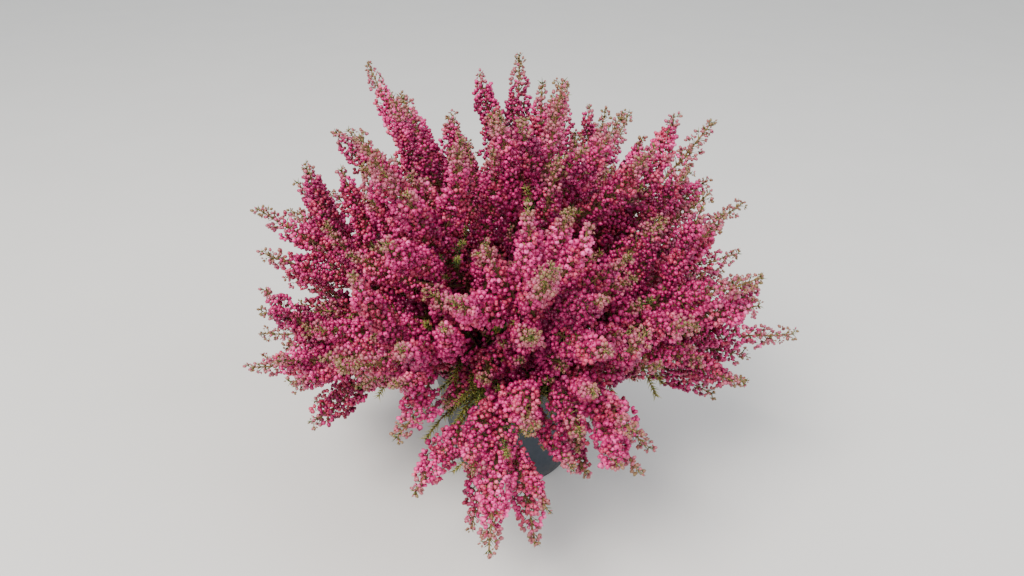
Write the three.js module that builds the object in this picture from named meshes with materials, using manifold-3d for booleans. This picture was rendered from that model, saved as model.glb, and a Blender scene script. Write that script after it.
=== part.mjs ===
// Potted cape heath: a tapered plastic pot filled with peat, in which the leafy stems stand.
// Each stem carries a pink flower spray above its needles: one long spire and the side spires round it.
// Lengths are in millimetres, +Z is up, and the origin is the middle of the pot's foot.
import * as THREE from "three";
import { mergeVertices } from "three/addons/utils/BufferGeometryUtils.js";
import Module from "manifold-3d";

// Pot
const POT_HEIGHT = 100;
const RIM_RADIUS = 65;
const FOOT_RADIUS = 46;
const WALL = 1.5;
const COLLAR_HEIGHT = 11;
const COLLAR_STEP = 1.8;
const EDGE_ROUND = 0.8;
const GROOVE_INNER = 24;
const GROOVE_OUTER = 40;
const GROOVE_DEPTH = 2.5;
const POT_SIDES = 28;
const DRAIN_HOLES = 6;
const DRAIN_RADIUS = 4;
const DRAIN_SIDES = 8;

// Peat
const PEAT_TOP = 88;
const PEAT_DOME = 3;
const PEAT_RINGS = 2;
const CRUMB_HEIGHT = 0.9;
const CRUMB_PITCH = 3.5;

// Gaps: where two pieces touch, and under the lowest flowers
const SEAT_GAP = 0.35;
const FLOOR_GAP = 12;

// Stems: the line that a leafy stem and its flower spray share. Leans are shares of the stem's own tilt.
const STEMS = 21;
const GOLDEN_ANGLE = THREE.MathUtils.degToRad(137.508);
const FIRST_ANGLE = THREE.MathUtils.degToRad(-53.3);
const ANGLE_SPREAD = 0.16;
const WIDEST_TILT = THREE.MathUtils.degToRad(90);
const ROOT_CIRCLE = 41;
const ROOT_DEPTH = 12;
const STRAIGHT_FOOT = 20;
const TALL_STEM = 270;
const WIDE_STEM = 170;
const LENGTH_SPREAD = 0.2;
const FOOT_LEAN = 0.45;
const MID_LEAN = 2.1;
const TIP_LEAN = -1.65;
const FRONT_DROOP = 0.7;
const STEPS = 40;

// Leafy part
const LEAFY_SHARE = 0.25;
const STEM_RADIUS = 1.8;
const STEM_SIDES = 5;
const STEM_RINGS = 5;
const NEEDLE_LENGTH = 6.5;
const NEEDLE_WIDTH = 1.1;
const NEEDLE_REACH = 5.5;
const NEEDLE_SPACING = 13;
const NEEDLES_ROUND = 2;
const WHORL_TURN = 1.2;
const SHOOT_LENGTH = 40;
const SHOOT_RADIUS = 1.3;
const SHOOT_SIDES = 3;
const SHOOT_OPEN = 0.8;
const SHOOT_TURN = 0.5;
const FIRST_SHOOT = 0.15;
const LAST_SHOOT = 0.22;
const LEAST_SHOOT_RANK = 0.6;

// Spires. Reaches are shares of the spire's radius.
const STALK_RADIUS = 1.6;
const SPIRE_RADIUS = 13.5;
const SIDE_RADIUS = 12;
const SPIRE_BARE = 8;
const SIDE_BARE = 20;
const SPIRE_COLUMNS = 6;
const LEAST_ROWS = 4;
const BELL_SPACING = 19;
const BELL_SPREAD = 0.24;
const HOLLOW_REACH = 0.55;
const FOOT_REACH = 0.4;
const FOOT_SWELL = 2.4;
const TIP_NARROWING = 0.5;

// Side spires. Starts and lengths are shares of the stem, and openings are factors on the two angles.
const SIDE_SPIRES = 6;
const SIDE_TURN = 0.3;
const FIRST_BRANCH = 0.3;
const LAST_BRANCH = 0.54;
const LOW_SIDE_LENGTH = 0.62;
const HIGH_SIDE_LENGTH = 0.86;
const SIDE_LENGTH_SPREAD = 0.12;
const BRANCH_OPEN = 0.95;
const BRANCH_SETTLED = 0.3;
const OPENINGS = [1.3, 1.15, 1, 0.85, 0.7, 0.55, 0.4];

// What each repeatable draw is for
const DRAW = { angle: 1, length: 2, sideLength: 3, sideTurn: 4, bell: 5 };
const MOST_BELLS = 200;

const wasm = await Module();
wasm.setup();

// A repeatable number from 0 to 1 for a whole number and what it is drawn for.
function chance(n, use) {
  const wave = Math.sin(n * 12.9898 + use * 78.233) * 43758.5453;
  return wave - Math.floor(wave);
}

function mix(a, b, share) {
  return a + (b - a) * share;
}

function count(n) {
  return [...Array(n).keys()];
}

// The direction between two others that are square to each other, turned from the first to the second.
function between(first, second, turn) {
  return first.clone().multiplyScalar(Math.cos(turn)).addScaledVector(second, Math.sin(turn));
}

function solidOf(geometry) {
  const bare = new THREE.BufferGeometry();
  bare.setAttribute("position", geometry.getAttribute("position"));
  bare.setIndex(geometry.getIndex());
  const merged = mergeVertices(bare);
  return new wasm.Manifold(
    new wasm.Mesh({
      numProp: 3,
      vertProperties: merged.attributes.position.array,
      triVerts: new Uint32Array(merged.index.array),
    }),
  );
}

function solidFrom(points, faces) {
  const geometry = new THREE.BufferGeometry();
  const numbers = points.flatMap((point) => point.toArray());
  geometry.setAttribute("position", new THREE.Float32BufferAttribute(numbers, 3));
  geometry.setIndex(faces);
  return solidOf(geometry);
}

// Pieces grown together as one body, with any hollow that they shut in filled.
function oneBody(parts) {
  const bodies = wasm.Manifold.union(parts).decompose();
  return bodies.reduce((most, body) => (body.volume() > most.volume() ? body : most));
}

function meshOf(name, solid, material) {
  const { vertProperties, triVerts } = solid.getMesh();
  const geometry = new THREE.BufferGeometry();
  geometry.setAttribute("position", new THREE.BufferAttribute(vertProperties, 3));
  geometry.setIndex(new THREE.BufferAttribute(triVerts, 1));
  geometry.computeVertexNormals();
  const mesh = new THREE.Mesh(geometry, material);
  mesh.name = name;
  return mesh;
}

// A ring of points round a frame, one for each radius.
function ringAt({ at, across, over }, radii) {
  return radii.map((radius, k) => {
    const away = between(across, over, (2 * Math.PI * k) / radii.length);
    return at.clone().addScaledVector(away, radius);
  });
}

// A closed skin through rings of points, with a middle point for the first and last ring.
// Each four-sided patch is folded one way or the other in turn, so that a raised corner stands alone.
function skin(rings, first, last) {
  const columns = rings[0].length;
  const points = [...rings.flat(), first, last];
  const faces = [];
  rings.slice(1).forEach((_, j) => {
    for (let k = 0; k < columns; k++) {
      const next = (k + 1) % columns;
      const [a, b] = [j * columns + k, j * columns + next];
      const [c, d] = [b + columns, a + columns];
      if ((j + k) % 2) faces.push(a, b, c, a, c, d);
      else faces.push(a, b, d, b, c, d);
    }
  });
  const lastRing = (rings.length - 1) * columns;
  for (let k = 0; k < columns; k++) {
    const next = (k + 1) % columns;
    faces.push(next, k, points.length - 2);
    faces.push(lastRing + k, lastRing + next, points.length - 1);
  }
  return solidFrom(points, faces);
}

function tube(frames, radius, sides) {
  const rings = frames.map((frame) => ringAt(frame, Array(sides).fill(radius)));
  return skin(rings, frames[0].at, frames[frames.length - 1].at);
}

// Height of the peat at a place: a low dome with crumbs on it.
function peatHeight(x, y) {
  const share = Math.hypot(x, y) / RIM_RADIUS;
  const [u, v] = [x / CRUMB_PITCH, y / CRUMB_PITCH];
  const crumbs = Math.sin(u + 1) * Math.cos(v) + Math.sin((u - v) / 2);
  return PEAT_TOP + PEAT_DOME * (1 - share * share) + CRUMB_HEIGHT * crumbs;
}

// Points along a line that starts at a place and follows a direction rule.
function follow(start, length, direction) {
  const step = length / STEPS;
  const points = [start];
  for (let n = 0; n < STEPS; n++)
    points.push(points[n].clone().addScaledVector(direction((n + 0.5) * step), step));
  return { length, points, direction };
}

// A place on a line, with the line's direction there and two more that are square to it.
function frameAt(line, s) {
  const place = THREE.MathUtils.clamp(s / line.length, 0, 1) * STEPS;
  const n = Math.min(Math.floor(place), STEPS - 1);
  const at = line.points[n].clone().lerp(line.points[n + 1], place - n);
  const along = line.direction(s);
  const across = line.side.clone().addScaledVector(along, -line.side.dot(along)).normalize();
  return { at, along, across, over: along.clone().cross(across) };
}

// A stem's line. Each stem stands at the golden angle from the one before, and the tips share out a dome.
// The stem is straight in the peat, then leans further out, and turns up again towards its tip.
function stemLine(i) {
  const rank = (i + 0.5) / STEMS;
  const angle = FIRST_ANGLE + i * GOLDEN_ANGLE + ANGLE_SPREAD * (chance(i, DRAW.angle) - 0.5);
  const tilt = Math.acos(1 - rank * (1 - Math.cos(WIDEST_TILT)));
  const size = 1 + LENGTH_SPREAD * (chance(i, DRAW.length) - 0.5);
  const length = mix(TALL_STEM, WIDE_STEM, Math.sin(tilt) ** 2) * size;
  const upward = new THREE.Vector3(0, 0, 1);
  const outward = new THREE.Vector3(Math.cos(angle), Math.sin(angle), 0);
  const droop = FRONT_DROOP * Math.max(0, -outward.y) ** 2 * rank ** 3;
  const direction = (s) => {
    const x = THREE.MathUtils.clamp((s - STRAIGHT_FOOT) / (length - STRAIGHT_FOOT), 0, 1);
    const lean = tilt * (FOOT_LEAN + MID_LEAN * x + TIP_LEAN * x * x) + droop * x * x;
    return between(upward, outward, lean);
  };
  const root = outward.clone().multiplyScalar(ROOT_CIRCLE * Math.sqrt(rank));
  root.z = peatHeight(root.x, root.y);
  root.addScaledVector(direction(0), -ROOT_DEPTH);
  const side = new THREE.Vector3(-outward.y, outward.x, 0);
  return { i, rank, side, ...follow(root, length, direction) };
}

// The short green shoots low on an outer stem, one to each side and both a little outward.
function shootLines(stem) {
  if (stem.rank < LEAST_SHOOT_RANK) return [];
  return [-SHOOT_TURN, SHOOT_TURN - Math.PI].map((turn, k) => {
    const from = stem.length * mix(FIRST_SHOOT, LAST_SHOOT, k);
    const { at, along, across, over } = frameAt(stem, from);
    const heading = between(along, between(across, over, turn), SHOOT_OPEN);
    return { side: along, ...follow(at, SHOOT_LENGTH, () => heading) };
  });
}

// A needle: a three-sided point that starts in the middle of what carries it.
function needle({ at, along, across, over }, turn) {
  const away = between(across, over, turn);
  const direction = along.clone().add(away).normalize();
  const sideways = along.clone().cross(away);
  const foot = { at, across: sideways, over: direction.clone().cross(sideways) };
  const tip = at.clone().addScaledVector(direction, NEEDLE_LENGTH);
  const ring = ringAt(foot, Array(3).fill(NEEDLE_WIDTH / Math.sqrt(3)));
  return solidFrom([...ring, tip], [0, 2, 1, 0, 1, 3, 1, 2, 3, 2, 0, 3]);
}

function needlesAlong(line, from, to) {
  const rows = Math.floor((to - from) / NEEDLE_SPACING) + 1;
  return count(rows * NEEDLES_ROUND).map((n) => {
    const row = Math.floor(n / NEEDLES_ROUND);
    const turn = (2 * Math.PI * n) / NEEDLES_ROUND + row * WHORL_TURN;
    return needle(frameAt(line, from + row * NEEDLE_SPACING), turn);
  });
}

// A leafy stem: a woody stem with needles from the peat up and, on the outer ones, its green shoots.
function leafyStem(stem) {
  const top = stem.length * LEAFY_SHARE;
  const places = count(STEM_RINGS).map((n) => mix(STRAIGHT_FOOT, top, n / (STEM_RINGS - 1)));
  const frames = [0, ...places].map((s) => frameAt(stem, s));
  const parts = [tube(frames, STEM_RADIUS, STEM_SIDES)];
  parts.push(...needlesAlong(stem, STRAIGHT_FOOT, top - NEEDLE_REACH));
  for (const shoot of stem.shoots) {
    const ends = [frameAt(shoot, 0), frameAt(shoot, SHOOT_LENGTH)];
    parts.push(tube(ends, SHOOT_RADIUS, SHOOT_SIDES));
    parts.push(...needlesAlong(shoot, NEEDLE_SPACING, SHOOT_LENGTH));
  }
  return oneBody(parts);
}

function mainSpire(stem) {
  const from = stem.length * LEAFY_SHARE + SEAT_GAP;
  const number = stem.i * (SIDE_SPIRES + 1);
  return { line: stem, from, bare: SPIRE_BARE, radius: SPIRE_RADIUS, number };
}

// Side spire k of a stem. They stand evenly round it at mixed heights, and the higher ones reach further.
// It leaves the stem at a wide angle and settles to a narrow one.
function sideSpire(stem, k, opening) {
  const number = stem.i * (SIDE_SPIRES + 1) + k + 1;
  const level = (Math.floor(k / 2) + ((k % 2) * SIDE_SPIRES) / 2) / (SIDE_SPIRES - 1);
  const from = stem.length * mix(FIRST_BRANCH, LAST_BRANCH, level);
  const spread = SIDE_LENGTH_SPREAD * (chance(number, DRAW.sideLength) - 0.5);
  const length = (stem.length - from) * (mix(LOW_SIDE_LENGTH, HIGH_SIDE_LENGTH, level) + spread);
  const turn = (2 * Math.PI * (k + SIDE_TURN * chance(number, DRAW.sideTurn))) / SIDE_SPIRES;
  const { at, across, over } = frameAt(stem, from);
  const away = between(across, over, turn);
  const direction = (t) => {
    const rest = 1 - THREE.MathUtils.clamp(t / length, 0, 1);
    const open = opening * mix(BRANCH_SETTLED, BRANCH_OPEN, rest * rest);
    return between(stem.direction(from + t), away, open).normalize();
  };
  const line = { side: stem.side, ...follow(at, length, direction) };
  return { line, from: 0, bare: SIDE_BARE, radius: SIDE_RADIUS, number };
}

// A spire's reach at a share of its flowering length: fuller at first, and narrow at the tip.
function spireReach(spire, x) {
  return spire.radius * Math.min(1, FOOT_REACH + FOOT_SWELL * x) * (1 - TIP_NARROWING * x * x);
}

// A spire's solid: a bare stalk, then rings that alternate between bells and the hollows between them.
function spireSolid(spire) {
  const { line, from, bare, number } = spire;
  const rows = Math.max(LEAST_ROWS, Math.round((line.length - from - bare) / BELL_SPACING));
  const rings = [ringAt(frameAt(line, from), Array(SPIRE_COLUMNS).fill(STALK_RADIUS))];
  for (let j = 0; j < rows; j++) {
    const x = j / rows;
    const radii = count(SPIRE_COLUMNS).map((k) => {
      const draw = chance(number * MOST_BELLS + j * SPIRE_COLUMNS + k, DRAW.bell);
      const bell = 1 + BELL_SPREAD * (draw - 0.5);
      return spireReach(spire, x) * ((j + k) % 2 ? bell : HOLLOW_REACH);
    });
    rings.push(ringAt(frameAt(line, mix(from + bare, line.length, x)), radii));
  }
  return skin(rings, frameAt(line, from).at, frameAt(line, line.length).at);
}

// Balls that hold a spire's bells, or on a stem below them its needles, as places and radii.
function ballsOf(spire) {
  const { line, from, bare } = spire;
  return line.points.map((at, n) => {
    const s = (line.length * n) / STEPS;
    if (s < from) return { at, radius: NEEDLE_REACH };
    const x = Math.max(0, (s - from - bare) / (line.length - from - bare));
    const full = spireReach(spire, x) * (1 + BELL_SPREAD / 2);
    return { at, radius: mix(STALK_RADIUS, full, Math.min(1, (s - from) / bare)) };
  });
}

// True for balls that touch none of the others, the pot or the floor.
function clear(balls, others) {
  return balls.every((ball) => {
    const outside = Math.hypot(ball.at.x, ball.at.y) - ball.radius > RIM_RADIUS + SEAT_GAP;
    const lowest = outside ? FLOOR_GAP : POT_HEIGHT + SEAT_GAP;
    if (ball.at.z - ball.radius < lowest) return false;
    return others.every(({ at, radius }) => at.distanceTo(ball.at) > radius + ball.radius + SEAT_GAP);
  });
}

// Gives every stem its spires. Each side spire opens as wide as leaves it clear of the other stems,
// and one that finds no room is left out.
function growSpires(stems) {
  for (const stem of stems) {
    stem.spires = [mainSpire(stem)];
    stem.balls = ballsOf(stem.spires[0]);
    stem.guard = stem.shoots.flatMap((shoot) =>
      shoot.points.map((at) => ({ at, radius: NEEDLE_REACH })),
    );
  }
  for (let k = 0; k < SIDE_SPIRES; k++)
    for (const stem of stems) {
      const taken = stems.flatMap((other) => (other === stem ? [] : other.balls).concat(other.guard));
      const choices = OPENINGS.map((opening) => sideSpire(stem, k, opening));
      const chosen = choices.find((choice) => clear(ballsOf(choice), taken));
      if (!chosen) continue;
      stem.spires.push(chosen);
      stem.balls.push(...ballsOf(chosen));
    }
}

// A flower spray: the top of the stem as one long spire, with the side spires all round it.
function flowerSpray(stem) {
  return oneBody(stem.spires.map(spireSolid));
}

// Outer radius of the pot's wall below its collar.
function wallRadius(z) {
  return mix(FOOT_RADIUS, RIM_RADIUS - COLLAR_STEP, z / POT_HEIGHT);
}

// The pot: a tapered wall under a stepped collar, and a floor with a raised groove for the drain holes.
function pot() {
  const collar = POT_HEIGHT - COLLAR_HEIGHT;
  const floor = GROOVE_DEPTH + WALL;
  const profile = [
    [0, 0],
    [GROOVE_INNER, 0],
    [GROOVE_INNER + GROOVE_DEPTH / 2, GROOVE_DEPTH],
    [GROOVE_OUTER - GROOVE_DEPTH / 2, GROOVE_DEPTH],
    [GROOVE_OUTER, 0],
    [FOOT_RADIUS - EDGE_ROUND, 0],
    [wallRadius(EDGE_ROUND), EDGE_ROUND],
    [wallRadius(collar), collar],
    [wallRadius(collar) + COLLAR_STEP, collar + EDGE_ROUND],
    [RIM_RADIUS, POT_HEIGHT - EDGE_ROUND],
    [RIM_RADIUS - EDGE_ROUND, POT_HEIGHT],
    [RIM_RADIUS - WALL - EDGE_ROUND, POT_HEIGHT],
    [wallRadius(collar) - WALL, collar],
    [wallRadius(floor) - WALL, floor],
    [0, floor],
  ];
  const points = profile.map(([r, z]) => new THREE.Vector2(r, z));
  const body = new THREE.LatheGeometry(points, POT_SIDES).rotateX(Math.PI / 2);
  const holes = count(DRAIN_HOLES).map((k) => {
    const turn = (2 * Math.PI * k) / DRAIN_HOLES;
    const middle = (GROOVE_INNER + GROOVE_OUTER) / 2;
    const hole = new THREE.CylinderGeometry(DRAIN_RADIUS, DRAIN_RADIUS, POT_HEIGHT / 2, DRAIN_SIDES);
    hole.rotateX(Math.PI / 2);
    hole.translate(middle * Math.cos(turn), middle * Math.sin(turn), 0);
    return solidOf(hole);
  });
  return solidOf(body).subtract(wasm.Manifold.union(holes));
}

// The peat: it fills the pot to below the rim, with a plain hole for each stem's foot.
function peat(stems) {
  const bottom = GROOVE_DEPTH + WALL + SEAT_GAP;
  const edge = wallRadius(PEAT_TOP - PEAT_DOME) - WALL - SEAT_GAP;
  const across = new THREE.Vector3(1, 0, 0);
  const over = new THREE.Vector3(0, 1, 0);
  const flatRing = (radius, z) =>
    ringAt({ at: new THREE.Vector3(0, 0, z), across, over }, Array(POT_SIDES).fill(radius));
  const surface = count(PEAT_RINGS).map((n) => {
    const ring = flatRing(edge * (1 - n / PEAT_RINGS), 0);
    return ring.map(({ x, y }) => new THREE.Vector3(x, y, peatHeight(x, y)));
  });
  const rings = [flatRing(wallRadius(bottom) - WALL - SEAT_GAP, bottom), ...surface];
  const body = skin(rings, new THREE.Vector3(0, 0, bottom), new THREE.Vector3(0, 0, peatHeight(0, 0)));
  const holes = stems.map((stem) => {
    const [low, high] = [frameAt(stem, 0), frameAt(stem, STRAIGHT_FOOT)];
    low.at.addScaledVector(low.along, -SEAT_GAP);
    return tube([low, high], STEM_RADIUS + SEAT_GAP / Math.cos(Math.PI / STEM_SIDES), STEM_SIDES);
  });
  return body.subtract(wasm.Manifold.union(holes));
}

const materials = {
  pot: new THREE.MeshStandardMaterial({ color: 0x2f3640, roughness: 0.45, metalness: 0 }),
  peat: new THREE.MeshStandardMaterial({ color: 0x2b2019, roughness: 0.95, metalness: 0 }),
  leaf: new THREE.MeshStandardMaterial({ color: 0x55682c, roughness: 0.6, metalness: 0 }),
  bell: new THREE.MeshStandardMaterial({ color: 0xb8366f, roughness: 0.5, metalness: 0 }),
};

const stems = count(STEMS).map(stemLine);
for (const stem of stems) stem.shoots = shootLines(stem);
growSpires(stems);

const heath = new THREE.Group();
heath.add(meshOf("pot", pot(), materials.pot));
heath.add(meshOf("peat", peat(stems), materials.peat));
for (const stem of stems) {
  const number = String(stem.i + 1).padStart(2, "0");
  heath.add(meshOf(`leafy_stem_${number}`, leafyStem(stem), materials.leaf));
  heath.add(meshOf(`flower_spray_${number}`, flowerSpray(stem), materials.bell));
}

export default heath;
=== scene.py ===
import math
from functools import partial

import bpy
import numpy as np
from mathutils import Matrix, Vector


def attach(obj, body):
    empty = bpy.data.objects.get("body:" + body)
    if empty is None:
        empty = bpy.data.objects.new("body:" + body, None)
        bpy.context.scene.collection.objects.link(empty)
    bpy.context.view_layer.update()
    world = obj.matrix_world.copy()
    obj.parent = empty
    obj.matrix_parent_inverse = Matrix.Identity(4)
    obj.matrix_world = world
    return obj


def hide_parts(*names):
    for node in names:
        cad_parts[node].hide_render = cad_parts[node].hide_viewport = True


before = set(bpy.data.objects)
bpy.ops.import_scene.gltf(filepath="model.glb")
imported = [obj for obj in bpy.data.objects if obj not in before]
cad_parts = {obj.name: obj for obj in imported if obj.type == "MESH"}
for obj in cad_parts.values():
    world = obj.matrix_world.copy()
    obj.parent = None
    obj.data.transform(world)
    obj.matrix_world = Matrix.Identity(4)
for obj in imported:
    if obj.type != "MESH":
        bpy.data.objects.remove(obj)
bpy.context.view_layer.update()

# Potted cape heath. Lengths are in millimetres until a mesh is made, which is in metres.
# The lines of stems and spires follow the same rule as the solids that the pieces stand for.

goldenAngle = math.radians(137.508)
anyTurn = (0, 6.28)
metresPerMm = 0.001
leastLength = 1e-9
nearlyUpright = 0.9
spikeSide = 1.7
hashSteps = (12.9898, 78.233, 43758.5453)
upward = np.array([0.0, 0.0, 1.0])
rng = np.random.default_rng(11)

habit = {
    "stems": 21, "firstAngle": math.radians(-53.3), "angleSpread": 0.16, "widestTilt": math.radians(90),
    "rootCircle": 41, "rootDepth": 12, "straightFoot": 20, "tallStem": 270, "wideStem": 170,
    "lengthSpread": 0.2, "footLean": 0.45, "midLean": 2.1, "tipLean": -1.65, "frontDroop": 0.7, "steps": 40,
    "leafyShare": 0.25, "needleReach": 5.5, "shootLength": 40, "shootOpen": 0.8, "shootTurn": 0.5,
    "shootStarts": (0.15, 0.22), "leastShootRank": 0.6, "seatGap": 0.35, "floorGap": 12,
}

spireForm = {
    "stalkRadius": 1.6, "spireRadius": 13.5, "sideRadius": 12, "spireBare": 8, "sideBare": 20,
    "bellSpread": 0.24, "footReach": 0.4, "footSwell": 2.4, "tipNarrowing": 0.5, "sideSpires": 6,
    "sideTurn": 0.3, "branches": (0.3, 0.54), "sideLengths": (0.62, 0.86), "sideLengthSpread": 0.12,
    "branchOpen": 0.95, "branchSettled": 0.3, "openings": (1.3, 1.15, 1, 0.85, 0.7, 0.55, 0.4),
}

potForm = {
    "height": 100, "rimRadius": 65, "footRadius": 46, "wall": 1.5, "wallRows": (9, 30, 60),
    "collarHeight": 11, "collarStep": 1.8, "edgeRound": 0.8, "stepHeights": (76, 82), "stepDepth": 0.5,
    "grooveInner": 24, "grooveOuter": 40, "grooveDepth": 2.5, "drainHoles": 6, "drainRadius": 4,
    "drainColumns": 16, "columns": 112, "sharpAngle": math.radians(32),
}

peatForm = {
    "top": 88, "dome": 3, "crumbHeight": 0.9, "crumbPitch": 3.5, "grain": 0.45, "calmMiddle": 8,
    "rings": 34, "columns": 112, "crumbs": 420, "crumbSize": (0.7, 2.4), "crumbCorner": (0.5, 1.0),
    "crumbRise": 0.2, "crumbsInside": 5,
}

chanceUses = {"angle": 1, "length": 2, "sideLength": 3, "sideTurn": 4, "light": 6, "rose": 7, "tip": 8}


# A repeatable number from 0 to 1: the part after the point of a large multiple of a sine.
def chance(n, use):
    wave = np.sin(n * hashSteps[0] + chanceUses[use] * hashSteps[1]) * hashSteps[2]
    return wave - np.floor(wave)


# The first value plus a share of the way to the second.
def mix(a, b, share):
    return a + (b - a) * share


# Vectors divided by their lengths.
def unit(v):
    return v / np.maximum(np.linalg.norm(v, axis=-1, keepdims=True), leastLength)


# First turned towards second: cosine of the turn times the first plus its sine times the second.
def between(first, second, turn):
    turn = np.asarray(turn, float)[..., None]
    return np.cos(turn) * first + np.sin(turn) * second


# Equal parts of a full turn, from 0.
def fullTurns(count):
    return 2 * np.pi * np.arange(count) / count


# Rings of points: each place plus its radius times its two directions, one turned towards the other.
def ringsRound(at, across, over, turn, radius):
    return at[:, None] + between(across[:, None], over[:, None], turn) * radius[:, None, None]


# Random numbers from minus the amount to the amount.
def shakes(amount, count):
    return rng.uniform(-amount, amount, count)


# Two directions square to each one given: its cross product with z, or with x where it stands nearly
# upright, and its cross product with the first.
def squareTo(direction):
    isUpright = np.abs(direction[:, 2:]) > nearlyUpright
    across = unit(np.cross(direction, np.where(isUpright, [[1.0, 0, 0]], [[0, 0, 1.0]])))
    return across, np.cross(direction, across)


# Height of the peat: a dome that falls with the square of the radius, plus two crossed waves of crumbs.
def peatHeight(x, y):
    share = np.hypot(x, y) / potForm["rimRadius"]
    u, v = x / peatForm["crumbPitch"], y / peatForm["crumbPitch"]
    crumbs = np.sin(u + 1) * np.cos(v) + np.sin((u - v) / 2)
    return peatForm["top"] + peatForm["dome"] * (1 - share**2) + peatForm["crumbHeight"] * crumbs


# Points along a line: the running sum of its direction at the middle of each step.
def follow(start, length, direction, side):
    step = length / habit["steps"]
    middles = (np.arange(habit["steps"]) + 0.5) * step
    points = start + np.vstack([np.zeros(3), np.cumsum(direction(middles) * step, axis=0)])
    return {"length": length, "points": points, "direction": direction, "side": side}


# Places on a line, its direction there, and two more directions that are square to it and each other.
def frameAt(line, s):
    s = np.atleast_1d(np.asarray(s, float))
    place = np.clip(s / line["length"], 0, 1) * habit["steps"]
    n = np.minimum(place.astype(int), habit["steps"] - 1)
    at = mix(line["points"][n], line["points"][n + 1], (place - n)[:, None])
    along = line["direction"](s)
    across = unit(line["side"] - along * (along @ line["side"])[:, None])
    return at, along, across, np.cross(along, across)


# Places on a line, its direction there, and one square to it, turned round it.
def aroundAt(line, s, turn):
    at, along, across, over = frameAt(line, s)
    return at, along, between(across, over, turn)


# The same at one place.
def branchAt(line, s, turn):
    return (part[0] for part in aroundAt(line, s, turn))


# A stem leans by its tilt times a quadratic of the share along it, and the front ones droop by its square.
def stemLine(i):
    rank = (i + 0.5) / habit["stems"]
    angle = habit["firstAngle"] + i * goldenAngle + habit["angleSpread"] * (chance(i, "angle") - 0.5)
    tilt = math.acos(1 - rank * (1 - math.cos(habit["widestTilt"])))
    size = 1 + habit["lengthSpread"] * (chance(i, "length") - 0.5)
    length = mix(habit["tallStem"], habit["wideStem"], math.sin(tilt) ** 2) * size
    outward = np.array([math.cos(angle), math.sin(angle), 0.0])
    droop = habit["frontDroop"] * max(0, -outward[1]) ** 2 * rank**3
    foot = habit["straightFoot"]

    def direction(s):
        x = np.clip((np.asarray(s) - foot) / (length - foot), 0, 1)
        lean = tilt * (habit["footLean"] + habit["midLean"] * x + habit["tipLean"] * x * x)
        return between(upward, outward, lean + droop * x * x)

    root = outward * habit["rootCircle"] * math.sqrt(rank)
    root[2] = peatHeight(root[0], root[1])
    root = root - direction(np.zeros(1))[0] * habit["rootDepth"]
    side = np.array([-outward[1], outward[0], 0.0])
    return {"i": i, "rank": rank, "outward": outward, **follow(root, length, direction, side)}


# A short straight shoot that leaves a line at s, opened from its direction and turned round it.
def shootLine(stem, s, turn, opening, length):
    at, along, away = branchAt(stem, s, turn)
    heading = between(along, away, opening)
    return follow(at, length, lambda t: np.tile(heading, (np.size(t), 1)), along)


# The two low shoots of an outer stem, which leave it to opposite sides.
def shootLines(stem):
    if stem["rank"] < habit["leastShootRank"]:
        return []
    turns = (-habit["shootTurn"], habit["shootTurn"] - math.pi)
    return [
        shootLine(stem, stem["length"] * start, turn, habit["shootOpen"], habit["shootLength"])
        for start, turn in zip(habit["shootStarts"], turns)
    ]


# A spire: its line, where it starts there, its bare length, its radius and its number for chances.
def spireOn(line, start, bare, radius, number):
    return {"line": line, "start": start, "bare": bare, "radius": radius, "number": number}


# A side spire turns from the stem's direction to a side one by an angle that settles with the square
# of what is left of its length.
def sideSpire(stem, k, opening):
    form, count = spireForm, spireForm["sideSpires"]
    number = stem["i"] * (count + 1) + k + 1
    level = (k // 2 + (k % 2) * count / 2) / (count - 1)
    start = stem["length"] * mix(*form["branches"], level)
    spread = form["sideLengthSpread"] * (chance(number, "sideLength") - 0.5)
    length = (stem["length"] - start) * (mix(*form["sideLengths"], level) + spread)
    turn = 2 * math.pi * (k + form["sideTurn"] * chance(number, "sideTurn")) / count
    at, _, away = branchAt(stem, start, turn)

    def direction(t):
        rest = 1 - np.clip(np.asarray(t) / length, 0, 1)
        opened = opening * mix(form["branchSettled"], form["branchOpen"], rest * rest)
        return unit(between(stem["direction"](start + t), away, opened))

    line = follow(at, length, direction, stem["side"])
    return spireOn(line, 0.0, form["sideBare"], form["sideRadius"], number)


# Reach: the radius times a swell that stops at 1, times one less a share of the square of the way along.
def spireReach(spire, x):
    swell = np.minimum(1, spireForm["footReach"] + spireForm["footSwell"] * x)
    return spire["radius"] * swell * (1 - spireForm["tipNarrowing"] * x * x)


# Balls along a spire, as rows of place and radius.
def ballsOf(spire):
    line, start, bare = spire["line"], spire["start"], spire["bare"]
    s = line["length"] * np.arange(habit["steps"] + 1) / habit["steps"]
    x = np.maximum(0, (s - start - bare) / (line["length"] - start - bare))
    full = spireReach(spire, x) * (1 + spireForm["bellSpread"] / 2)
    radius = mix(spireForm["stalkRadius"], full, np.minimum(1, (s - start) / bare))
    radius = np.where(s < start, habit["needleReach"], radius)
    return np.column_stack([line["points"], radius])


# True for balls whose distances to the others are all more than the two radii and the gap.
def isClear(balls, others):
    gap = habit["seatGap"]
    outside = np.hypot(balls[:, 0], balls[:, 1]) - balls[:, 3] > potForm["rimRadius"] + gap
    lowest = np.where(outside, habit["floorGap"], potForm["height"] + gap)
    if (balls[:, 2] - balls[:, 3] < lowest).any():
        return False
    apart = np.linalg.norm(balls[:, None, :3] - others[None, :, :3], axis=2)
    return bool((apart > balls[:, None, 3] + others[None, :, 3] + gap).all())


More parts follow.
